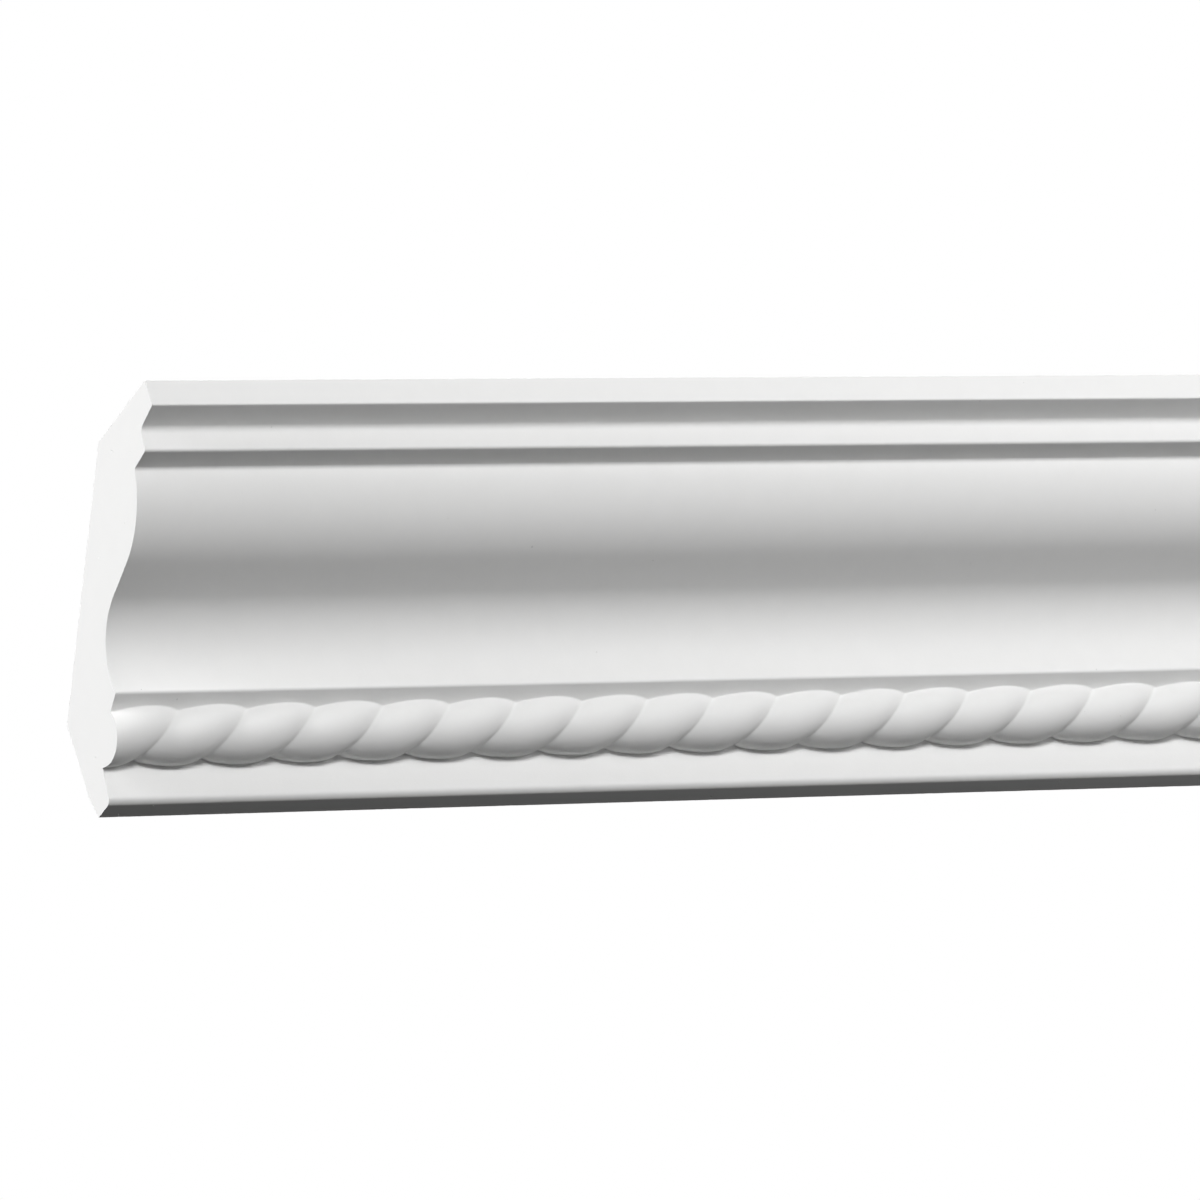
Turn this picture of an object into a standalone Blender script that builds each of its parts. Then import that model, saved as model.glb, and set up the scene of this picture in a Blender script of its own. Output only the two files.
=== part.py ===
# A short length of moulded crown moulding with a twisted rope bead.
# Metres. X runs along the moulding, the wall is the plane Y = 0 with the room towards -Y, and the
# ceiling lies above. The origin is the middle of the land that bears on the wall.
# A section point is written as (out, down): out from the wall, down from the ceiling.

import math

import bmesh
import bpy

# Overall sizes
LENGTH = 0.360
DROP = 0.0800
PROJECTION = 0.0834

# The back: two lands, a slope between them, and a lower edge that stands clear of the wall
CEILING_LAND = 0.0293
WALL_LAND = 0.0214
RELIEF_HEIGHT = 0.0072
RELIEF_DEPTH = 0.0016

# The two fillets under the ceiling, each over a soffit that falls towards the wall
FIRST_FILLET_HEIGHT = 0.0073
FIRST_FILLET_LEAN = 0.0002
FIRST_SOFFIT_DEPTH = 0.0083
FIRST_SOFFIT_FALL = 0.0018
SECOND_FILLET_HEIGHT = 0.0059
SECOND_FILLET_LEAN = 0.0012
SECOND_SOFFIT_DEPTH = 0.00715
SECOND_SOFFIT_FALL = 0.0008

# The S-curve: a convex arc, a straight run and a concave arc, each tangent to the next. The run
# slopes as much as it takes to bring the curve down over the bead.
CYMA_START_LEAN = math.radians(15.6)
CYMA_UPPER_RADIUS = 0.0261
CYMA_RUN = 0.0105
CYMA_LOWER_RADIUS = 0.01835
CYMA_END_LEAN = math.radians(11.6)
ARC_STEPS = 14

# The strip above the bead, which slants back towards the wall
STRIP_WIDTH = 0.0058
STRIP_SLOPE = math.radians(27)

# The rope bead: its axis stands out from the wall, and is set back and down from the strip's lower edge.
# Under the bead the strands turn straight back to the fascia, between two angles.
BEAD_OUT = 0.01474
BEAD_SET_BACK = 0.00696
BEAD_SET_DOWN = 0.00205
STRAND_PITCH = 0.020
STRAND_LEAD = 0.0386
STRAIGHT_FROM = math.radians(65)
STRAIGHT_BY = math.radians(115)
VALLEY_RADIUS = 0.00715
STRAND_RISE = 0.00165
STRAND_CREST = 0.56
LEFT_FULLNESS = 1.8
RIGHT_FULLNESS = 2.4
FIRST_GROOVE = 0.0180
STRAND_STEPS = 8
TURN_STEPS = 24

# The fascia below the bead, the small chamfer along its foot and the face under it
FASCIA_FOOT = 0.00905
FASCIA_LEAN = math.radians(8.8)
CHAMFER_DEPTH = 0.00125
CHAMFER_FALL = 0.00085
UNDERSIDE_FALL = 0.00015

# Softened corners
ARRIS_RADIUS = 0.0003
FIRST_EDGE_RADIUS = 0.0005
SOFT_EDGE_RADIUS = 0.0008
FIRST_ROOT_RADIUS = 0.0018
SECOND_ROOT_RADIUS = 0.0012
LOWER_EDGE_RADIUS = 0.0015
CORNER_STEPS = 3

# What is hidden in the joined solid, and what the saw takes off
SEAT_MARGIN = 0.0015
CORE_RADIUS = 0.0010
BEAD_START = math.radians(-45)
BEAD_END = math.radians(150)
SAW_ALLOWANCE = 0.004
SAW_CLEARANCE = 0.010

WALL_LAND_MIDDLE = DROP - RELIEF_HEIGHT - WALL_LAND / 2


def towards(point, angle, distance):
    # Angle 0 points out into the room, and a quarter turn points down.
    return (point[0] + distance * math.cos(angle), point[1] + distance * math.sin(angle))


def in_space(x, point):
    return (x, -point[0], WALL_LAND_MIDDLE - point[1])


def arc(centre, radius, start, end, steps):
    return [towards(centre, start + (end - start) * i / steps, radius) for i in range(steps + 1)]


def soffits():
    # The corners of the two fillets and their soffits, from the ceiling down.
    first_edge = (PROJECTION - FIRST_FILLET_LEAN, FIRST_FILLET_HEIGHT)
    first_root = (first_edge[0] - FIRST_SOFFIT_DEPTH, first_edge[1] + FIRST_SOFFIT_FALL)
    second_edge = (first_root[0] - SECOND_FILLET_LEAN, first_root[1] + SECOND_FILLET_HEIGHT)
    second_root = (second_edge[0] - SECOND_SOFFIT_DEPTH, second_edge[1] + SECOND_SOFFIT_FALL)
    return first_edge, first_root, second_edge, second_root


def cyma(start, end_out):
    # The S-curve's points from the root of the second soffit, without that root itself, to where it
    # stands out from the wall by end_out.
    upper_centre = towards(start, CYMA_START_LEAN, -CYMA_UPPER_RADIUS)
    across = end_out + CYMA_LOWER_RADIUS * math.cos(CYMA_END_LEAN) - upper_centre[0]
    radii = CYMA_UPPER_RADIUS + CYMA_LOWER_RADIUS
    slope = math.atan2(CYMA_RUN, radii) + math.asin(across / math.hypot(radii, CYMA_RUN))
    slope_normal = math.pi / 2 - slope
    upper = arc(upper_centre, CYMA_UPPER_RADIUS, CYMA_START_LEAN, slope_normal, ARC_STEPS)
    run_end = towards(upper[-1], math.pi - slope, CYMA_RUN)
    lower_centre = towards(run_end, slope_normal, CYMA_LOWER_RADIUS)
    lower = arc(lower_centre, CYMA_LOWER_RADIUS, slope_normal + math.pi, math.pi - CYMA_END_LEAN, ARC_STEPS)
    return upper[1:] + lower


def on_line_at_radius(point, angle, centre, radius):
    # Where the line from a point, going towards the bead, comes within a radius of its axis.
    along = (centre[0] - point[0]) * math.cos(angle) + (centre[1] - point[1]) * math.sin(angle)
    nearest = towards(point, angle, along)
    offset = math.dist(nearest, centre)
    return towards(nearest, angle, -math.sqrt(radius**2 - offset**2))


def rounded(corner, before, after, radius):
    # The corner as a small arc that touches both of its sides.
    to_before = math.atan2(before[1] - corner[1], before[0] - corner[0])
    to_after = math.atan2(after[1] - corner[1], after[0] - corner[0])
    half = math.remainder(to_after - to_before, math.tau) / 2
    reach = radius / math.tan(abs(half))
    centre = towards(corner, to_before + half, radius / math.sin(abs(half)))
    first = towards(corner, to_before, reach)
    last = towards(corner, to_after, reach)
    start = math.atan2(first[1] - centre[1], first[0] - centre[0])
    end = math.atan2(last[1] - centre[1], last[0] - centre[0])
    return arc(centre, radius, start, start + math.remainder(end - start, math.tau), CORNER_STEPS)


def section():
    # The plain section's points, clockwise from the back of the ceiling land, and the bead's axis.
    first_edge, first_root, second_edge, second_root = soffits()
    curve = cyma(second_root, BEAD_OUT + BEAD_SET_BACK + STRIP_WIDTH * math.cos(STRIP_SLOPE))
    strip_root = towards(curve[-1], math.pi - STRIP_SLOPE, STRIP_WIDTH)
    axis = (BEAD_OUT, strip_root[1] + BEAD_SET_DOWN)
    chamfer_edge = (FASCIA_FOOT - CHAMFER_DEPTH, DROP - UNDERSIDE_FALL)
    fascia_edge = (FASCIA_FOOT, chamfer_edge[1] - CHAMFER_FALL)
    seat_radius = VALLEY_RADIUS - SEAT_MARGIN
    wall_land_foot = DROP - RELIEF_HEIGHT
    corners = [
        ((PROJECTION - CEILING_LAND, 0), 0),
        ((PROJECTION, 0), ARRIS_RADIUS),
        (first_edge, FIRST_EDGE_RADIUS),
        (first_root, FIRST_ROOT_RADIUS),
        (second_edge, SOFT_EDGE_RADIUS),
        (second_root, SECOND_ROOT_RADIUS),
        *((point, 0) for point in curve[:-1]),
        (curve[-1], SOFT_EDGE_RADIUS),
        (on_line_at_radius(strip_root, math.pi - STRIP_SLOPE, axis, seat_radius), 0),
        (on_line_at_radius(fascia_edge, FASCIA_LEAN - math.pi / 2, axis, seat_radius), 0),
        (fascia_edge, LOWER_EDGE_RADIUS),
        (chamfer_edge, LOWER_EDGE_RADIUS),
        ((RELIEF_DEPTH, DROP), ARRIS_RADIUS),
        ((0, wall_land_foot), 0),
        ((0, wall_land_foot - WALL_LAND), 0),
    ]
    points = []
    for i, (corner, radius) in enumerate(corners):
        if radius == 0:
            points.append(corner)
        else:
            after = corners[(i + 1) % len(corners)][0]
            points += rounded(corner, corners[i - 1][0], after, radius)
    return points, axis


def strand_radius(share):
    # The bead's radius at a share of the way from one groove to the next. A strand is highest at its
    # crest, past its middle, and falls more steeply after it.
    if share < STRAND_CREST:
        fall = (1 - share / STRAND_CREST) ** LEFT_FULLNESS
    else:
        fall = ((share - STRAND_CREST) / (1 - STRAND_CREST)) ** RIGHT_FULLNESS
    return VALLEY_RADIUS + STRAND_RISE * (1 - fall)


def strand_travel(angle):
    # How far a strand has moved along X by this angle.
    fading = STRAIGHT_BY - STRAIGHT_FROM
    past = min(max(0, angle - STRAIGHT_FROM), fading)
    turned = min(angle, STRAIGHT_FROM) + past - past**2 / (2 * fading)
    return STRAND_LEAD * turned / math.tau


def object_from(bm, name):
    bmesh.ops.recalc_face_normals(bm, faces=bm.faces)
    mesh = bpy.data.meshes.new(name)
    bm.to_mesh(mesh)
    bm.free()
    made = bpy.data.objects.new(name, mesh)
    bpy.context.scene.collection.objects.link(made)
    return made


def helper(made):
    made.hide_render = True
    made.display_type = "WIRE"
    made.hide_set(True)
    return made


def plain_length(points):
    # The section drawn out along X, a little longer than the finished piece.
    bm = bmesh.new()
    start = -LENGTH / 2 - SAW_ALLOWANCE
    face = bm.faces.new([bm.verts.new(in_space(start, point)) for point in points])
    drawn = bmesh.ops.extrude_face_region(bm, geom=[face])
    moved = [item for item in drawn["geom"] if isinstance(item, bmesh.types.BMVert)]
    bmesh.ops.translate(bm, vec=(LENGTH + 2 * SAW_ALLOWANCE, 0, 0), verts=moved)
    return object_from(bm, "crown_moulding")


def rope_bead(axis):
    # The strands' profile, one bulge for each, set round the axis in even turns while it moves along it.
    lead_in = FIRST_GROOVE - strand_travel(BEAD_START) + 2 * SAW_ALLOWANCE
    first = FIRST_GROOVE - STRAND_PITCH * math.ceil(lead_in / STRAND_PITCH)
    needed = LENGTH + strand_travel(BEAD_END) + 2 * SAW_ALLOWANCE - first
    points_along = math.ceil(needed / STRAND_PITCH) * STRAND_STEPS + 1
    bm = bmesh.new()
    turns = []
    for i in range(TURN_STEPS + 1):
        angle = BEAD_START + (BEAD_END - BEAD_START) * i / TURN_STEPS
        start = -LENGTH / 2 + first - strand_travel(angle)
        outline = []
        for j in range(points_along):
            radius = strand_radius(j % STRAND_STEPS / STRAND_STEPS)
            outline.append((start + STRAND_PITCH * j / STRAND_STEPS, radius))
        outline = [(outline[0][0], CORE_RADIUS), *outline, (outline[-1][0], CORE_RADIUS)]
        turns.append([bm.verts.new(in_space(x, towards(axis, angle, radius))) for x, radius in outline])
    bm.faces.new(turns[0])
    bm.faces.new(turns[-1])
    for turn, after in zip(turns, turns[1:]):
        for j in range(len(turn)):
            bm.faces.new((turn[j - 1], turn[j], after[j], after[j - 1]))
    return helper(object_from(bm, "rope_bead_form"))


def saw_cut():
    # The block of space that is kept between the two square cuts.
    bm = bmesh.new()
    bmesh.ops.create_cube(bm, size=1)
    depth = PROJECTION + 2 * SAW_CLEARANCE
    height = DROP + 2 * SAW_CLEARANCE
    bmesh.ops.scale(bm, vec=(LENGTH, depth, height), verts=bm.verts)
    middle = in_space(0, (PROJECTION / 2, DROP / 2))
    bmesh.ops.translate(bm, vec=middle, verts=bm.verts)
    return helper(object_from(bm, "kept_between_cuts"))


def primed_polyurethane():
    made = bpy.data.materials.new("primed_polyurethane")
    made.use_nodes = True
    shader = made.node_tree.nodes["Principled BSDF"]
    shader.inputs["Base Color"].default_value = (0.82, 0.82, 0.82, 1)
    shader.inputs["Roughness"].default_value = 0.55
    shader.inputs["Metallic"].default_value = 0
    return made


def combine(target, other, operation):
    modifier = target.modifiers.new(other.name, "BOOLEAN")
    modifier.operation = operation
    modifier.solver = "EXACT"
    modifier.object = other


def main():
    for old in list(bpy.data.objects):
        bpy.data.objects.remove(old, do_unlink=True)
    points, axis = section()
    moulding = plain_length(points)
    moulding.data.materials.append(primed_polyurethane())
    combine(moulding, rope_bead(axis), "UNION")
    combine(moulding, saw_cut(), "INTERSECT")
    moulding.data.shade_smooth()
    moulding.data.set_sharp_from_angle(angle=math.radians(25))


main()
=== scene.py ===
# A length of white crown moulding with a rope bead, finished and lit for the camera.
# Metres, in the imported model's own frame: X along the moulding, the wall at Y = 0, Z up.
# A section point is (out from the wall, down from the ceiling); angle 0 points out, a quarter turn down.

import math
import random

import bmesh
import bpy
from mathutils import Euler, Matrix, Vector
from mathutils.bvhtree import BVHTree
from mathutils.geometry import delaunay_2d_cdt


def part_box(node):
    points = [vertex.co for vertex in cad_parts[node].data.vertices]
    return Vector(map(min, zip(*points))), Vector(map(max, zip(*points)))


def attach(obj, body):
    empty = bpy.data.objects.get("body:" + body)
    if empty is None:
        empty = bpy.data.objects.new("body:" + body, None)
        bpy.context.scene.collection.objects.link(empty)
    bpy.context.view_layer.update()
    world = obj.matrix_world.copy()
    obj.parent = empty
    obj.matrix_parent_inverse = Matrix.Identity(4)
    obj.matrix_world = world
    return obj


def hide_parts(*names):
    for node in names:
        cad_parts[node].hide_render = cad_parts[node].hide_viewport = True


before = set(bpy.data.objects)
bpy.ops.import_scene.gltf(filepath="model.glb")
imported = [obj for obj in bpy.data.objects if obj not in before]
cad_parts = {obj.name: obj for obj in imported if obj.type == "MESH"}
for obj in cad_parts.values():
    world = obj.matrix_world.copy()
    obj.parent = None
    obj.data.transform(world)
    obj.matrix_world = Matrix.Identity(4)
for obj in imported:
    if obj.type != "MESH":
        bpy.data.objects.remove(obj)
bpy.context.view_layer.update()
mm = 0.001
oneSpot = 0.01 * mm    # points closer than this are one point
cutSlack = 1e-7        # and this is as near as a cut comes to its plane
lowCorner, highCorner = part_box("crown_moulding")
length = highCorner.x - lowCorner.x
projection = highCorner.y - lowCorner.y
drop = highCorner.z - lowCorner.z
leftEnd = lowCorner.x
rightEnd = highCorner.x
ceiling = highCorner.z
print(f"frame: {length / mm:.1f} long, {projection / mm:.1f} out, {drop / mm:.1f} mm down")

# The moulded section. Its sizes are the solid's own.
section = {
    "ceilingLand": 29.3 * mm,
    "wallLand": 21.4 * mm,
    "reliefHeight": 7.2 * mm,
    "reliefDepth": 1.6 * mm,
    "firstFilletHeight": 7.3 * mm,
    "firstFilletLean": 0.2 * mm,
    "firstSoffitDepth": 8.3 * mm,
    "firstSoffitFall": 1.8 * mm,
    "secondFilletHeight": 5.9 * mm,
    "secondFilletLean": 1.2 * mm,
    "secondSoffitDepth": 7.15 * mm,
    "secondSoffitFall": 0.8 * mm,
    "cymaStartLean": math.radians(15.6),
    "cymaUpperRadius": 26.1 * mm,
    "cymaRun": 10.5 * mm,
    "cymaLowerRadius": 18.35 * mm,
    "cymaEndLean": math.radians(11.6),
    "stripWidth": 5.8 * mm,
    "stripSlope": math.radians(27),
    "fasciaFoot": 9.05 * mm,
    "fasciaLean": math.radians(8.8),
    "chamferDepth": 1.25 * mm,
    "chamferFall": 0.85 * mm,
    "undersideFall": 0.15 * mm,
    "arrisRadius": 0.3 * mm,
    "firstEdgeRadius": 0.5 * mm,
    "softEdgeRadius": 0.8 * mm,
    "firstRootRadius": 1.8 * mm,
    "secondRootRadius": 1.2 * mm,
    "lowerEdgeRadius": 1.5 * mm,
    "backEdgeRadius": 0.6 * mm,
    "curveStep": math.radians(2.6),    # the S-curve turns this much from row to row
    "cornerStep": math.radians(20),    # and a softened corner this much
    "rowSpacing": 3.4 * mm,            # widest row on a flat
    "cornerGuard": 0.25 * mm,          # a row this close to a corner keeps the flat beside it flat
    "widestGuard": 0.3,                # a flat on which a guard takes a larger share gets no rows
    "sharpAngle": math.radians(50),    # edges that turn more than this stay sharp
    "backFacing": 0.05,                # faces turned this far to the wall have the back's finish
    "topFacing": 0.9,                  # and so have those that face the ceiling
}

# The rope: twisted strands on a bead, and the mesh that carries them.
rope = {
    "axisOut": 14.74 * mm,
    "axisSetBack": 6.96 * mm,
    "axisSetDown": 2.05 * mm,
    "pitch": 20.0 * mm,
    "lead": 38.6 * mm,                 # how far a strand travels in one whole turn
    "straightFrom": math.radians(65),  # past this angle a strand turns straight back towards the wall
    "straightBy": math.radians(115),
    "grooveRadius": 7.15 * mm,
    "rise": 1.65 * mm,
    "crest": 0.56,                     # a strand is highest past its middle, and falls steeply after
    "leftFullness": 1.8,
    "rightFullness": 2.4,
    "grooveSoftness": 0.10,            # rounds the groove's bottom, to one height from both sides
    "firstGroove": 18.0 * mm,
    "pinch": 0.4 * mm,                 # under the bead the grooves deepen, and the fascia shows between
    "pinchFrom": math.radians(72),
    "pinchBy": math.radians(112),
    "pinchReach": 0.15,                # share of a strand to each side of the groove
    "pinchPower": 1.5,
    "topFillet": 0.35 * mm,            # where the strands run into the strip
    "footFillet": 0.2 * mm,            # and into the fascia
    "seatSteps": 3,
    "turnSteps": 30,
    "columns": 24,
    "crowding": 0.45,                  # columns stand closer by the grooves
    "unevenness": 0.08 * mm,           # the strands aren't quite alike
    "unevenScale": 60.0,
    "unevenDetail": 1.5,
    "raggedness": 0.12 * mm,           # the lower edge was trimmed by hand
    "trimmedWidth": 1.3 * mm,
    "raggedScale": 300.0,
    "seed": 3.0,
}


def inSpace(x, point):
    return Vector((x, -point[0], ceiling - point[1]))


def towards(point, angle, distance):
    return (point[0] + distance * math.cos(angle), point[1] + distance * math.sin(angle))


def arc(centre, radius, start, end, steps):
    return [towards(centre, start + (end - start) * i / steps, radius) for i in range(steps + 1)]


def cyma(start, endOut):
    # the S-curve: an arc that bulges, a straight run and an arc that hollows
    size = section
    upperCentre = towards(start, size["cymaStartLean"], -size["cymaUpperRadius"])
    across = endOut + size["cymaLowerRadius"] * math.cos(size["cymaEndLean"]) - upperCentre[0]
    radii = size["cymaUpperRadius"] + size["cymaLowerRadius"]
    slope = math.atan2(size["cymaRun"], radii) + math.asin(across / math.hypot(radii, size["cymaRun"]))
    facing = math.pi / 2 - slope
    upperSteps = math.ceil((facing - size["cymaStartLean"]) / size["curveStep"])
    upper = arc(upperCentre, size["cymaUpperRadius"], size["cymaStartLean"], facing, upperSteps)
    runEnd = towards(upper[-1], math.pi - slope, size["cymaRun"])
    runSteps = math.ceil(size["cymaRun"] / size["rowSpacing"])
    run = [towards(upper[-1], math.pi - slope, size["cymaRun"] * i / runSteps) for i in range(1, runSteps)]
    lowerCentre = towards(runEnd, facing, size["cymaLowerRadius"])
    lowerEnd = math.pi - size["cymaEndLean"]
    lowerSteps = math.ceil((facing + math.pi - lowerEnd) / size["curveStep"])
    lower = arc(lowerCentre, size["cymaLowerRadius"], facing + math.pi, lowerEnd, lowerSteps)
    return upper[1:] + run + lower


def softened(corner, before, after, radius):
    # an arc in place of a corner of the section
    toBefore = math.atan2(before[1] - corner[1], before[0] - corner[0])
    toAfter = math.atan2(after[1] - corner[1], after[0] - corner[0])
    half = math.remainder(toAfter - toBefore, math.tau) / 2
    reach = radius / math.tan(abs(half))
    centre = towards(corner, toBefore + half, radius / math.sin(abs(half)))
    first = towards(corner, toBefore, reach)
    last = towards(corner, toAfter, reach)
    start = math.atan2(first[1] - centre[1], first[0] - centre[0])
    turn = math.remainder(math.atan2(last[1] - centre[1], last[0] - centre[0]) - start, math.tau)
    return arc(centre, radius, start, start + turn, math.ceil(abs(turn) / section["cornerStep"]))


def sharesAlong(wide):
    # where the rows lie on a flat: a guard row by each end, and even rows between the guards
    guard = section["cornerGuard"] / wide
    if guard > section["widestGuard"]:
        return []
    steps = math.ceil(wide * (1 - 2 * guard) / section["rowSpacing"])
    return [guard + (1 - 2 * guard) * i / steps for i in range(steps + 1)]


def sectionRows():
    # The rows from the foot of the fascia, round the back and down the front to the strip above the rope.
    # Each is (out, down, drift): the mesh's columns drift along X across the back's slope, where it is flat.
    size = section
    firstEdge = (projection - size["firstFilletLean"], size["firstFilletHeight"])
    firstRoot = (firstEdge[0] - size["firstSoffitDepth"], firstEdge[1] + size["firstSoffitFall"])
    secondEdge = (firstRoot[0] - size["secondFilletLean"], firstRoot[1] + size["secondFilletHeight"])
    secondRoot = (secondEdge[0] - size["secondSoffitDepth"], secondEdge[1] + size["secondSoffitFall"])
    curveEnd = rope["axisOut"] + rope["axisSetBack"] + size["stripWidth"] * math.cos(size["stripSlope"])
    curve = cyma(secondRoot, curveEnd)
    stripRoot = towards(curve[-1], math.pi - size["stripSlope"], size["stripWidth"])
    axis = (rope["axisOut"], stripRoot[1] + rope["axisSetDown"])
    chamferFoot = (size["fasciaFoot"] - size["chamferDepth"], drop - size["undersideFall"])
    fasciaFoot = (size["fasciaFoot"], chamferFoot[1] - size["chamferFall"])
    wallLandFoot = drop - size["reliefHeight"]
    corners = [
        (towards(fasciaFoot, size["fasciaLean"] - math.pi / 2, rope["grooveRadius"]), 0, 0),
        (fasciaFoot, size["lowerEdgeRadius"], 0),
        (chamferFoot, size["lowerEdgeRadius"], 0),
        ((size["reliefDepth"], drop), size["arrisRadius"], 0),
        ((0, wallLandFoot), size["backEdgeRadius"], 0),
        ((0, wallLandFoot - size["wallLand"]), size["backEdgeRadius"], 0),
        ((projection - size["ceilingLand"], 0), size["backEdgeRadius"], 1),
        ((projection, 0), size["arrisRadius"], 1),
        (firstEdge, size["firstEdgeRadius"], 1),
        (firstRoot, size["firstRootRadius"], 1),
        (secondEdge, size["softEdgeRadius"], 1),
        (secondRoot, size["secondRootRadius"], 1),
        *((point, 0, 1) for point in curve[:-1]),
        (curve[-1], size["softEdgeRadius"], 1),
        (stripRoot, 0, 1),
    ]
    rows = []
    for (before, _, _), (corner, radius, drift), (after, _, _) in zip(corners, corners[1:], corners[2:]):
        turned = softened(corner, before, after, radius) if radius > 0 else [corner]
        turned = [(*point, drift) for point in turned]
        if rows and radius > 0:
            start = Vector(rows[-1])
            end = Vector(turned[0])
            rows += [tuple(start.lerp(end, share)) for share in sharesAlong((end - start).xy.length)]
        rows += turned
    return rows, axis, fasciaFoot, stripRoot


def strandRadius(share):
    # the bead's radius at a share of the way from one groove to the next
    crest = rope["crest"]
    side = crest if share < crest else 1 - crest
    fullness = rope["leftFullness"] if share < crest else rope["rightFullness"]
    fromCrest = abs(share - crest) / side
    soft = rope["grooveSoftness"] / fullness
    if fromCrest > 1 - soft:
        fromCrest = 1 - soft / 2 - (1 - fromCrest) ** 2 / (2 * soft)
    return rope["grooveRadius"] + rope["rise"] * (1 - fromCrest**fullness)


def pinchDepth(share):
    # how much deeper the grooves are at the foot of the strands
    fromGroove = min(share, 1 - share) / rope["pinchReach"]
    return rope["pinch"] * (1 - fromGroove) ** rope["pinchPower"] if fromGroove < 1 else 0


def alongStrand(angle):
    # how far a strand has moved along X by this angle
    past = max(0, angle - rope["straightFrom"])
    fading = rope["straightBy"] - rope["straightFrom"]
    past = min(past, fading)
    turned = min(angle, rope["straightFrom"]) + past - past**2 / (2 * fading)
    return rope["lead"] * turned / math.tau


def angleOnLine(point, direction, axis, radius):
    # the bead's angle where a line, going towards the bead, comes within the radius of its axis
    along = (axis[0] - point[0]) * math.cos(direction) + (axis[1] - point[1]) * math.sin(direction)
    nearest = towards(point, direction, along)
    offset = math.dist(nearest, axis)
    meets = towards(nearest, direction, -math.sqrt(radius**2 - offset**2))
    return math.atan2(meets[1] - axis[1], meets[0] - axis[0])


def softJoint(before, corner, after):
    # a small fillet in place of the corner between two points
    shares = [i / rope["seatSteps"] for i in range(rope["seatSteps"] + 1)]
    return [before.lerp(corner, share).lerp(corner.lerp(after, share), share) for share in shares]


def meshColumn(share, rows, axis, fasciaFoot, stripRoot):
    # One line of points right round the section. Across the rope it runs along its strand.
    radius = strandRadius(share)
    footRadius = radius - pinchDepth(share)
    stripDirection = math.pi - section["stripSlope"]
    fasciaDirection = section["fasciaLean"] - math.pi / 2
    topAngle = angleOnLine(stripRoot, stripDirection, axis, radius)
    footAngle = angleOnLine(fasciaFoot, fasciaDirection, axis, footRadius)
    start = leftEnd + rope["firstGroove"] + rope["pitch"] * share

    def onStrand(angle):
        pinched = (angle - rope["pinchFrom"]) / (rope["pinchBy"] - rope["pinchFrom"])
        pinched = min(max(pinched, 0), 1)
        pinched = pinched * pinched * (3 - 2 * pinched)
        there = radius + (footRadius - radius) * pinched
        return inSpace(start - alongStrand(angle), towards(axis, angle, there))

    def beside(corner, direction, fillet):
        # a fillet's width away from the corner, against the direction
        step = towards((0, 0), direction, -fillet)
        return corner + Vector((0, -step[0], -step[1]))

    top = onStrand(topAngle)
    foot = onStrand(footAngle)
    first = topAngle + rope["topFillet"] / radius
    last = footAngle - rope["footFillet"] / radius
    column = [onStrand(first + (last - first) * i / rope["turnSteps"]) for i in range(rope["turnSteps"] + 1)]
    onFascia = beside(foot, fasciaDirection, rope["footFillet"])
    column += softJoint(column[-1], foot, onFascia)[1:]
    fasciaEnd = inSpace(foot.x, rows[0])
    fasciaHeight = math.dist(rows[0][:2], axis) - rope["grooveRadius"]
    column += [onFascia.lerp(fasciaEnd, share) for share in sharesAlong(fasciaHeight)]
    onStrip = beside(top, stripDirection, rope["topFillet"])
    column += [inSpace(foot.x + (top.x - foot.x) * row[2], row) for row in rows]
    stripEnd = column[-1]
    column += [stripEnd.lerp(onStrip, share) for share in sharesAlong(section["stripWidth"])]
    column += softJoint(onStrip, top, column[0])[:-1]
    return column


def makeTile():
    # The moulding over one strand, as an open sleeve. Its far edge is its near edge moved on by the pitch.
    rows, axis, fasciaFoot, stripRoot = sectionRows()
    bm = bmesh.new()
    onRope = bm.verts.layers.float.new("onRope")
    onTrimmedEdge = bm.verts.layers.float.new("onTrimmedEdge")
    columns = []
    for i in range(rope["columns"] + 1):
        share = i / rope["columns"]
        share -= rope["crowding"] * math.sin(math.tau * share) / math.tau
        column = meshColumn(share, rows, axis, fasciaFoot, stripRoot)
        made = [bm.verts.new(point) for point in column]
        for j, vert in enumerate(made):
            out = -vert.co.y
            down = ceiling - vert.co.z
            if j <= rope["turnSteps"]:
                vert[onRope] = math.sin(math.pi * j / rope["turnSteps"]) ** 0.5
            fromTip = math.dist((out, down), (section["reliefDepth"], drop))
            vert[onTrimmedEdge] = max(0, 1 - fromTip / rope["trimmedWidth"])
        columns.append(made)
    count = len(columns[0])
    for near, far in zip(columns, columns[1:]):
        for j in range(count):
            k = (j + 1) % count
            bm.faces.new((near[j], near[k], far[k], far[j]))
    mesh = bpy.data.meshes.new("mouldingTile")
    bm.normal_update()
    bm.to_mesh(mesh)
    bm.free()
    tile = bpy.data.objects.new("mouldingTile", mesh)
    bpy.context.scene.collection.objects.link(tile)
    print(f"tile: {rope['columns']} columns of {count} points, {2 * rope['columns'] * count} triangles")
    return tile


def addInput(tree, name, kind):
    return tree.interface.new_socket(name, in_out="INPUT", socket_type=kind).identifier


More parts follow.
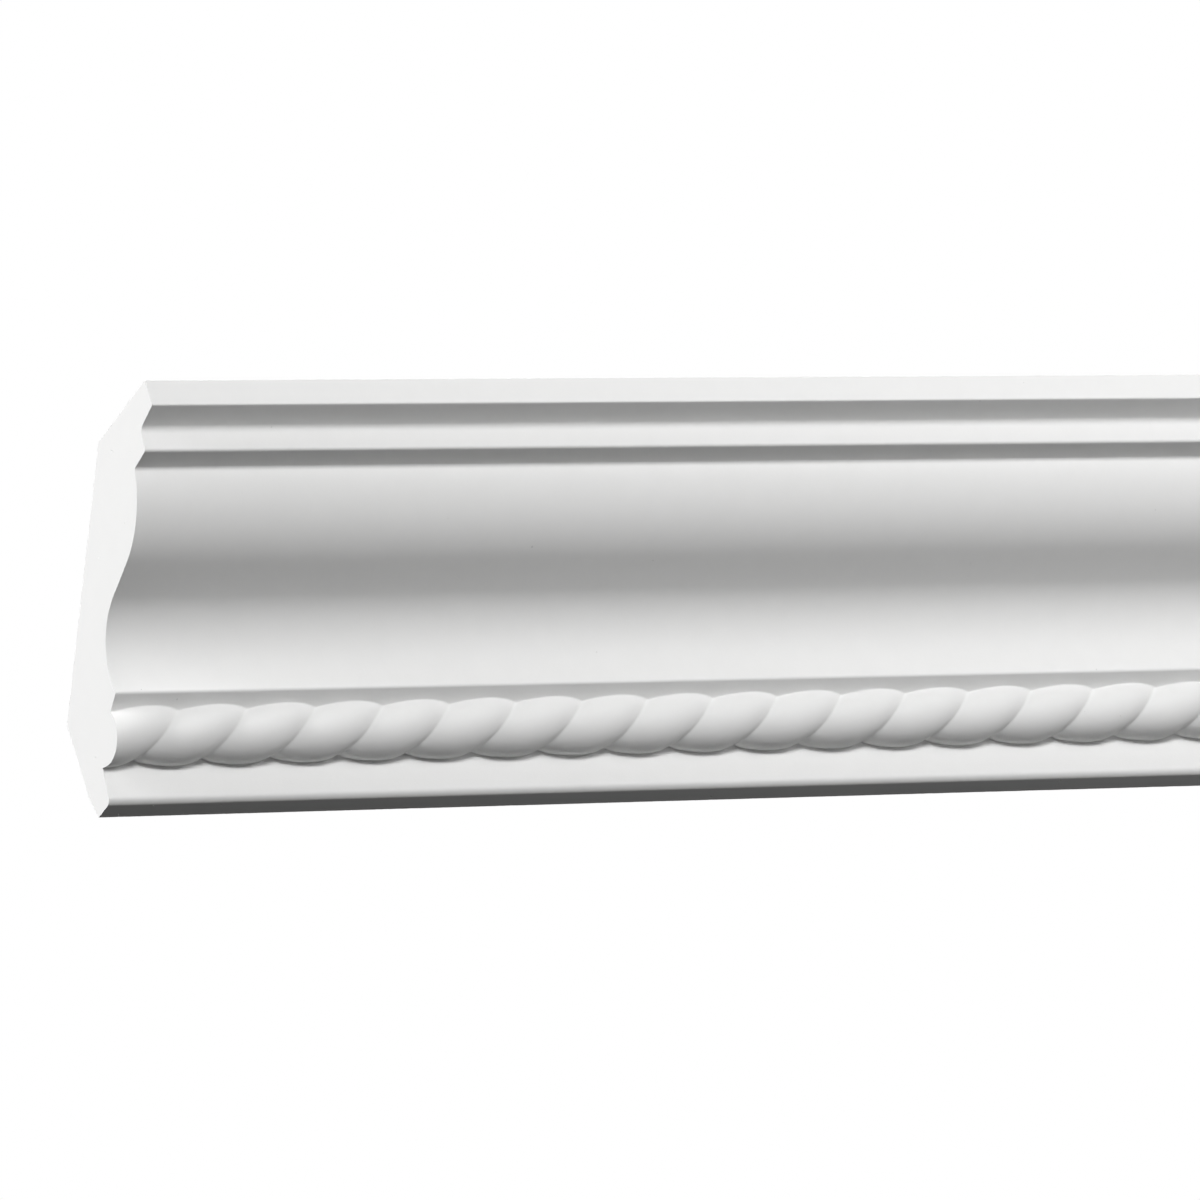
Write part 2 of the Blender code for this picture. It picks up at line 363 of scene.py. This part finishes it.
def repeatTree():
    # Sets tiles side by side along X, joins them, and makes them a little less regular.
    tree = bpy.data.node_groups.new("repeatMoulding", "GeometryNodeTree")
    tree.is_modifier = True
    names = {"Geometry": addInput(tree, "Geometry", "NodeSocketGeometry")}
    for name, kind in (
        ("Tiles", "NodeSocketInt"),
        ("Pitch", "NodeSocketFloat"),
        ("First tile", "NodeSocketFloat"),
        ("Unevenness", "NodeSocketFloat"),
        ("Uneven scale", "NodeSocketFloat"),
        ("Raggedness", "NodeSocketFloat"),
        ("Ragged scale", "NodeSocketFloat"),
        ("Seed", "NodeSocketFloat"),
        ("Finish", "NodeSocketMaterial"),
    ):
        names[name] = addInput(tree, name, kind)
    tree.interface.new_socket("Geometry", in_out="OUTPUT", socket_type="NodeSocketGeometry")
    nodes = tree.nodes
    link = tree.links.new
    given = nodes.new("NodeGroupInput").outputs
    made = nodes.new("NodeGroupOutput").inputs

    def vector(x=None, y=None, z=None):
        node = nodes.new("ShaderNodeCombineXYZ")
        for socket, source in zip(node.inputs, (x, y, z)):
            if source is not None:
                link(source, socket)
        return node.outputs[0]

    def calculate(operation, a, b):
        node = nodes.new("ShaderNodeMath")
        node.operation = operation
        for socket, value in zip(node.inputs, (a, b)):
            if isinstance(value, (int, float)):
                socket.default_value = value
            else:
                link(value, socket)
        return node.outputs[0]

    def unevenBy(scale, amount, mask):
        # noise from minus one to one, times the amount and a mask kept on the tile's points
        noise = nodes.new("ShaderNodeTexNoise")
        noise.noise_dimensions = "4D"
        noise.inputs["Detail"].default_value = rope["unevenDetail"]
        link(given["Seed"], noise.inputs["W"])
        link(scale, noise.inputs["Scale"])
        centred = calculate("MULTIPLY", calculate("SUBTRACT", noise.outputs[0], 0.5), 2)
        named = nodes.new("GeometryNodeInputNamedAttribute")
        named.data_type = "FLOAT"
        named.inputs["Name"].default_value = mask
        return calculate("MULTIPLY", calculate("MULTIPLY", centred, amount), named.outputs["Attribute"])

    line = nodes.new("GeometryNodeMeshLine")
    line.mode = "OFFSET"
    link(given["Tiles"], line.inputs["Count"])
    link(vector(given["First tile"]), line.inputs["Start Location"])
    link(vector(given["Pitch"]), line.inputs["Offset"])
    instances = nodes.new("GeometryNodeInstanceOnPoints")
    link(line.outputs[0], instances.inputs["Points"])
    link(given["Geometry"], instances.inputs["Instance"])
    realized = nodes.new("GeometryNodeRealizeInstances")
    link(instances.outputs[0], realized.inputs[0])
    merged = nodes.new("GeometryNodeMergeByDistance")
    merged.inputs["Distance"].default_value = oneSpot
    link(realized.outputs[0], merged.inputs["Geometry"])

    strands = nodes.new("GeometryNodeSetPosition")
    link(merged.outputs[0], strands.inputs["Geometry"])
    outwards = nodes.new("ShaderNodeVectorMath")
    outwards.operation = "SCALE"
    link(nodes.new("GeometryNodeInputNormal").outputs[0], outwards.inputs[0])
    link(unevenBy(given["Uneven scale"], given["Unevenness"], "onRope"), outwards.inputs["Scale"])
    link(outwards.outputs[0], strands.inputs["Offset"])
    trimmed = nodes.new("GeometryNodeSetPosition")
    link(strands.outputs[0], trimmed.inputs["Geometry"])
    lift = calculate("ABSOLUTE", unevenBy(given["Ragged scale"], given["Raggedness"], "onTrimmedEdge"), 0)
    link(vector(None, None, lift), trimmed.inputs["Offset"])
    finish = nodes.new("GeometryNodeSetMaterial")
    link(trimmed.outputs[0], finish.inputs["Geometry"])
    link(given["Finish"], finish.inputs["Material"])
    link(finish.outputs[0], made[0])
    return tree, names


def repeatTile(tile, finish):
    # the repeated moulding as a plain mesh, longer than it is cut to
    tree, names = repeatTree()
    modifier = tile.modifiers.new("repeatMoulding", "NODES")
    modifier.node_group = tree
    xs = [vert.co.x for vert in tile.data.vertices]
    tilesBefore = math.ceil((max(xs) - rope["pitch"] - leftEnd) / rope["pitch"]) + 1
    tilesAfter = math.ceil((rightEnd - min(xs)) / rope["pitch"]) + 1
    for name, value in (
        ("Tiles", tilesBefore + tilesAfter),
        ("Pitch", rope["pitch"]),
        ("First tile", -tilesBefore * rope["pitch"]),
        ("Unevenness", rope["unevenness"]),
        ("Uneven scale", rope["unevenScale"]),
        ("Raggedness", rope["raggedness"]),
        ("Ragged scale", rope["raggedScale"]),
        ("Seed", rope["seed"]),
        ("Finish", finish),
    ):
        modifier[names[name]] = value
    evaluated = tile.evaluated_get(bpy.context.evaluated_depsgraph_get())
    mesh = bpy.data.meshes.new_from_object(evaluated)
    tile.modifiers.remove(modifier)
    bpy.data.objects.remove(tile)
    print(f"repeat: {tilesBefore + tilesAfter} tiles, {len(mesh.vertices)} points")
    return mesh


# The cut ends: bare foam with a few open bubbles, whose places are section points.
cutEnd = {
    "leftBubbles": [
        ((58.9 * mm, 5.7 * mm), 0.26 * mm),
        ((66.8 * mm, 11.0 * mm), 0.16 * mm),
        ((52.2 * mm, 15.3 * mm), 0.14 * mm),
        ((54.5 * mm, 24.5 * mm), 0.15 * mm),
        ((38.0 * mm, 24.5 * mm), 0.15 * mm),
        ((26.0 * mm, 49.0 * mm), 0.16 * mm),
        ((3.4 * mm, 57.2 * mm), 0.15 * mm),
        ((8.8 * mm, 66.3 * mm), 0.18 * mm),
        ((4.1 * mm, 71.2 * mm), 0.16 * mm),
    ],
    "rightBubbles": 9,
    "bubbleRadius": (0.13 * mm, 0.26 * mm),
    "bubbleMargin": 1.2 * mm,
    "seed": 11,
}

# Small nicks in the skin, as ((along from the left end, section point), radius), and the form of a pit.
marks = {
    "nicks": [
        ((5.2 * mm, (3.1 * mm, 79.96 * mm)), 0.24 * mm),
        ((33.4 * mm, (6.38 * mm, 79.88 * mm)), 0.22 * mm),
        ((24.3 * mm, (2.6 * mm, 79.98 * mm)), 0.26 * mm),
        ((13.6 * mm, (6.9 * mm, 79.87 * mm)), 0.20 * mm),
        ((182.1 * mm, (3.58 * mm, 79.95 * mm)), 0.26 * mm),
        ((290.8 * mm, (6.4 * mm, 79.88 * mm)), 0.24 * mm),
        ((7.7 * mm, (26.68 * mm, 57.17 * mm)), 0.14 * mm),
        ((305.9 * mm, (21.1 * mm, 68.9 * mm)), 0.16 * mm),
    ],
    "nickMargin": 1.6,
    "pitSides": 10,
    "pitRings": ((1, 0), (0.8, 0.75), (0.4, 1.1)),    # (share of the radius, depth in radii)
    "pitFloor": 1.2,
}
frontSlot, cutSlot, backSlot = range(3)
insideOnly = 1    # a triangulation that keeps what lies inside its outline


def boundaryLoop(bm, x):
    # the points of the open edge at x, in order
    edges = [e for e in bm.edges if e.is_boundary and all(abs(v.co.x - x) < oneSpot for v in e.verts)]
    onward = {}
    for edge in edges:
        for vert in edge.verts:
            onward.setdefault(vert, []).append(edge)
    vert = edges[0].verts[0]
    edge = edges[0]
    loop = []
    for _ in edges:
        loop.append(vert)
        vert = edge.other_vert(vert)
        edge = next(e for e in onward[vert] if e != edge)
    return loop


def pittedPatch(bm, loop, inwards, pits, slot):
    # Fills a flat loop of points, with a small round pit at each place. The loop keeps its own points.
    across = Vector((1, 0, 0)) if abs(inwards.x) < 0.5 else Vector((0, 1, 0))
    upwards = inwards.cross(across)
    middle = sum((vert.co for vert in loop), Vector()) / len(loop)

    def laidFlat(point):
        return Vector(((point - middle).dot(across), (point - middle).dot(upwards)))

    flat = [laidFlat(vert.co) for vert in loop]
    depths = [0] * len(flat)
    for place, radius in pits:
        centre = laidFlat(place)
        for share, depth in marks["pitRings"]:
            for i in range(marks["pitSides"]):
                turn = math.tau * i / marks["pitSides"]
                flat.append(centre + Vector((math.cos(turn), math.sin(turn))) * radius * share)
                depths.append(depth * radius)
        flat.append(centre)
        depths.append(marks["pitFloor"] * radius)
    outline = [list(range(len(loop)))]
    points, _, triangles, origins, _, _ = delaunay_2d_cdt(flat, [], outline, insideOnly, cutSlack)
    verts = []
    for point, origin in zip(points, origins):
        index = origin[0]
        if index < len(loop):
            verts.append(loop[index])
        else:
            verts.append(bm.verts.new(middle + across * point.x + upwards * point.y + inwards * depths[index]))
    for triangle in triangles:
        face = bm.faces.new([verts[i] for i in triangle])
        face.material_index = slot


def closeEnd(bm, x, bubbles):
    # caps the open end at x
    pits = [(inSpace(x, place), radius) for place, radius in bubbles]
    inwards = Vector((-math.copysign(1, x), 0, 0))
    pittedPatch(bm, boundaryLoop(bm, x), inwards, pits, cutSlot)


def nick(bm, place, radius):
    # swaps the few faces round a place for a patch with one pit
    tree = BVHTree.FromBMesh(bm)
    bm.faces.ensure_lookup_table()
    found = {hit[2] for hit in tree.find_nearest_range(place, radius * marks["nickMargin"])}
    faces = [bm.faces[i] for i in found]
    inwards = -sum((face.normal for face in faces), Vector()).normalized()
    onward = {}
    for face in faces:
        for loop in face.loops:
            if len([other for other in loop.edge.link_faces if other in faces]) == 1:
                onward[loop.vert] = loop.link_loop_next.vert
    vert = next(iter(onward))
    ring = []
    for _ in onward:
        ring.append(vert)
        vert = onward[vert]
    bmesh.ops.delete(bm, geom=faces, context="FACES_KEEP_BOUNDARY")
    pittedPatch(bm, ring, inwards, [(place, radius)], frontSlot)


def rightBubbles(rows):
    # scattered over the right end, clear of its edges
    chance = random.Random(cutEnd["seed"])
    outline = [Vector(row[:2]) for row in rows]
    found = []
    while len(found) < cutEnd["rightBubbles"]:
        point = Vector((chance.uniform(0, projection), chance.uniform(0, drop)))
        crossings = 0
        for a, b in zip(outline, outline[1:] + outline[:1]):
            if (a.y > point.y) != (b.y > point.y):
                crossings += point.x < a.x + (b.x - a.x) * (point.y - a.y) / (b.y - a.y)
        clear = min((point - a).length for a in outline) > cutEnd["bubbleMargin"]
        if crossings % 2 and clear:
            found.append((tuple(point), chance.uniform(*cutEnd["bubbleRadius"])))
    return found


def sawnLength(mesh, rows):
    # cut square at both ends, capped, nicked, and given its finishes
    bm = bmesh.new()
    bm.from_mesh(mesh)
    for x, side in ((leftEnd, -1), (rightEnd, 1)):
        geometry = [*bm.verts, *bm.edges, *bm.faces]
        bmesh.ops.bisect_plane(
            bm,
            geom=geometry,
            dist=cutSlack,
            plane_co=(x, 0, 0),
            plane_no=(side, 0, 0),
            clear_outer=True,
        )
    for vert in bm.verts:
        for x in (leftEnd, rightEnd):
            if abs(vert.co.x - x) < 10 * cutSlack:
                vert.co.x = x
    closeEnd(bm, leftEnd, cutEnd["leftBubbles"])
    closeEnd(bm, rightEnd, rightBubbles(rows))
    bmesh.ops.recalc_face_normals(bm, faces=bm.faces)
    for (along, place), radius in marks["nicks"]:
        nick(bm, inSpace(leftEnd + along, place), radius)
    bmesh.ops.recalc_face_normals(bm, faces=bm.faces)
    for face in bm.faces:
        behind = face.normal.y > section["backFacing"] or face.normal.z > section["topFacing"]
        if face.material_index == frontSlot and behind:
            face.material_index = backSlot
    bmesh.ops.triangulate(bm, faces=bm.faces)
    bm.to_mesh(mesh)
    bm.free()
    mesh.shade_smooth()
    mesh.set_sharp_from_angle(angle=section["sharpAngle"])
    mesh.name = "moulded_length"


# The finishes. Scales are in features a metre, near enough.
finishes = {
    "front": {"colour": (0.82, 0.82, 0.815), "roughness": 0.58, "mottle": 0.012, "grain": 0.06},
    "cutEnd": {"colour": (0.86, 0.86, 0.855), "roughness": 0.8, "mottle": 0.010, "grain": 0.10},
    "back": {"colour": (0.80, 0.80, 0.79), "roughness": 0.7, "mottle": 0.03, "grain": 0.12},
    "specular": 0.35,
    "noiseLow": 0.3,             # the noise's usual range
    "noiseHigh": 0.7,
    "grainScale": 1900.0,
    "grainDetail": 3,
    "grainHeight": 0.2 * mm,
    "roughnessSpread": 0.05,
    "waveScale": 160.0,
    "waveDetail": 2,
    "speckScale": 260.0,
    "speckless": 0.93,           # share of the cells that have no speck
    "speckSize": 0.09,
    "speckDepth": 0.16,
}


def finishMaterial(name, look):
    material = bpy.data.materials.new(name)
    material.use_nodes = True
    nodes = material.node_tree.nodes
    link = material.node_tree.links.new
    shader = nodes["Principled BSDF"]
    shader.inputs["Specular IOR Level"].default_value = finishes["specular"]
    place = nodes.new("ShaderNodeTexCoord").outputs["Object"]

    def noise(scale, detail):
        node = nodes.new("ShaderNodeTexNoise")
        node.inputs["Scale"].default_value = scale
        node.inputs["Detail"].default_value = detail
        link(place, node.inputs["Vector"])
        return node.outputs[0]

    def ranged(source, fromLow, fromHigh, toLow, toHigh):
        node = nodes.new("ShaderNodeMapRange")
        for socket, value in zip(list(node.inputs)[1:5], (fromLow, fromHigh, toLow, toHigh)):
            socket.default_value = value
        link(source, node.inputs[0])
        return node.outputs[0]

    def multiplied(a, b):
        node = nodes.new("ShaderNodeMath")
        node.operation = "MULTIPLY"
        link(a, node.inputs[0])
        link(b, node.inputs[1])
        return node.outputs[0]

    low = finishes["noiseLow"]
    high = finishes["noiseHigh"]
    spread = finishes["roughnessSpread"]
    grain = noise(finishes["grainScale"], finishes["grainDetail"])
    wave = noise(finishes["waveScale"], finishes["waveDetail"])
    mottle = ranged(wave, low, high, 1 - look["mottle"], 1)
    cells = nodes.new("ShaderNodeTexVoronoi")
    cells.inputs["Scale"].default_value = finishes["speckScale"]
    link(place, cells.inputs["Vector"])
    fewer = nodes.new("ShaderNodeSeparateColor")
    link(cells.outputs["Color"], fewer.inputs[0])
    size = ranged(fewer.outputs[0], finishes["speckless"], 1, 0, finishes["speckSize"])
    speck = nodes.new("ShaderNodeMath")
    speck.operation = "LESS_THAN"
    link(cells.outputs["Distance"], speck.inputs[0])
    link(size, speck.inputs[1])
    speckShade = ranged(speck.outputs[0], 0, 1, 1, 1 - finishes["speckDepth"])
    shade = multiplied(mottle, speckShade)
    tint = nodes.new("ShaderNodeVectorMath")
    tint.operation = "SCALE"
    tint.inputs[0].default_value = look["colour"]
    link(shade, tint.inputs["Scale"])
    link(tint.outputs[0], shader.inputs["Base Color"])
    roughness = ranged(grain, low, high, look["roughness"] - spread, look["roughness"] + spread)
    link(roughness, shader.inputs["Roughness"])
    bump = nodes.new("ShaderNodeBump")
    bump.inputs["Strength"].default_value = look["grain"]
    bump.inputs["Distance"].default_value = finishes["grainHeight"]
    link(grain, bump.inputs["Height"])
    link(bump.outputs[0], shader.inputs["Normal"])
    return material


mouldingRows = sectionRows()[0]
primedWhite = finishMaterial("primedWhite", finishes["front"])
sawnFoam = finishMaterial("sawnFoam", finishes["cutEnd"])
mouldedBack = finishMaterial("mouldedBack", finishes["back"])
mouldingMesh = repeatTile(makeTile(), primedWhite)
mouldingMesh.materials.clear()
for finish in (primedWhite, sawnFoam, mouldedBack):    # in the order of frontSlot, cutSlot, backSlot
    mouldingMesh.materials.append(finish)
sawnLength(mouldingMesh, mouldingRows)
moulding = bpy.data.objects.new("moulded_length", mouldingMesh)
bpy.context.scene.collection.objects.link(moulding)
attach(moulding, "root")
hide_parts("crown_moulding")
print(f"moulding: {len(mouldingMesh.polygons)} triangles")

# The studio: a level light in front, a weak one near by on the right and another from below, one past
# the left end for the cut, and two for the back and the top.
# A light's direction is the way to it, as azimuth (0 straight in front, 90 to the right) and elevation.
studio = {
    "lights": {
        "front": {"azimuth": -8, "elevation": 0, "distance": 4.0, "size": 0.9, "power": 96},
        "right": {"azimuth": 30, "elevation": 0, "distance": 0.8, "size": 0.25, "power": 1.8},
        "below": {"azimuth": 40, "elevation": -42, "distance": 1.2, "size": 0.8, "power": 1.9},
        "pastTheEnd": {"azimuth": -82, "elevation": 20, "distance": 4.0, "size": 1.8, "power": 162},
        "behind": {"azimuth": 160, "elevation": 10, "distance": 4.0, "size": 2.4, "power": 120},
        "above": {"azimuth": 175, "elevation": 75, "distance": 4.0, "size": 2.4, "power": 70},
    },
    "ambient": 0.0,          # the world's light on the moulding; here the lights alone do
    "floorBelow": 4.2,
    "floorSize": 60.0,
    "floorColour": (0.8, 0.8, 0.8, 1),
    "floorTone": 0.93,
}


def directionTo(azimuth, elevation):
    a = math.radians(azimuth)
    e = math.radians(elevation)
    return Vector((math.sin(a) * math.cos(e), -math.cos(a) * math.cos(e), math.sin(e)))


def softbox(name, look):
    light = bpy.data.lights.new(name, "AREA")
    light.shape = "DISK"
    light.size = look["size"]
    light.energy = look["power"]
    placed = bpy.data.objects.new(name, light)
    away = directionTo(look["azimuth"], look["elevation"])
    placed.location = mouldingMiddle + away * look["distance"]
    placed.rotation_euler = away.to_track_quat("Z", "Y").to_euler()
    bpy.context.scene.collection.objects.link(placed)


mouldingMiddle = (lowCorner + highCorner) / 2
for name, look in studio["lights"].items():
    softbox(name, look)


def studioWorld():
    # white to the camera, and an even ambient light to everything else
    world = bpy.data.worlds.new("studioWorld")
    world.use_nodes = True
    nodes = world.node_tree.nodes
    link = world.node_tree.links.new
    dim = nodes["Background"]
    dim.inputs["Color"].default_value = (1, 1, 1, 1)
    dim.inputs["Strength"].default_value = studio["ambient"]
    white = nodes.new("ShaderNodeBackground")
    white.inputs["Color"].default_value = (1, 1, 1, 1)
    seen = nodes.new("ShaderNodeLightPath")
    mix = nodes.new("ShaderNodeMixShader")
    link(seen.outputs["Is Camera Ray"], mix.inputs[0])
    link(dim.outputs[0], mix.inputs[1])
    link(white.outputs[0], mix.inputs[2])
    link(mix.outputs[0], nodes["World Output"].inputs[0])
    bpy.context.scene.world = world


def paleFloor():
    half = studio["floorSize"] / 2
    z = lowCorner.z - studio["floorBelow"]
    mesh = bpy.data.meshes.new("floor")
    corners = [(-half, -half, z), (half, -half, z), (half, half, z), (-half, half, z)]
    mesh.from_pydata(corners, [], [(0, 1, 2, 3)])
    material = bpy.data.materials.new("paleFloor")
    material.use_nodes = True
    shader = material.node_tree.nodes["Principled BSDF"]
    shader.inputs["Base Color"].default_value = studio["floorColour"]
    shader.inputs["Emission Color"].default_value = (1, 1, 1, 1)
    shader.inputs["Emission Strength"].default_value = studio["floorTone"]
    mesh.materials.append(material)
    floor = bpy.data.objects.new("floor", mesh)
    bpy.context.scene.collection.objects.link(floor)
    floor.visible_diffuse = False
    floor.visible_glossy = False


studioWorld()
paleFloor()

# The camera looks up at the moulding from the left and below, through a long lens.
view = {
    "lookAt": (-0.0372, -0.0400, 0.0207),
    "distance": 2.8392,
    "azimuth": -35.136,
    "elevation": -26.325,
    "roll": -18.351,
    "shift": (-0.00110, 0.00110),
    "lens": 327.0,
    "sensor": 36.0,
    "clip": (0.1, 200),
}


def addCamera():
    camera = bpy.data.objects.new("camera", bpy.data.cameras.new("camera"))
    away = directionTo(view["azimuth"], view["elevation"])
    camera.location = Vector(view["lookAt"]) + away * view["distance"]
    level = away.to_track_quat("Z", "Y")
    camera.rotation_euler = (level @ Euler((0, 0, math.radians(view["roll"]))).to_quaternion()).to_euler()
    camera.data.shift_x, camera.data.shift_y = view["shift"]
    camera.data.lens = view["lens"]
    camera.data.sensor_width = view["sensor"]
    camera.data.clip_start, camera.data.clip_end = view["clip"]
    bpy.context.scene.collection.objects.link(camera)
    bpy.context.scene.camera = camera


addCamera()
bpy.context.scene.view_settings.view_transform = "Standard"
print("studio and camera placed")
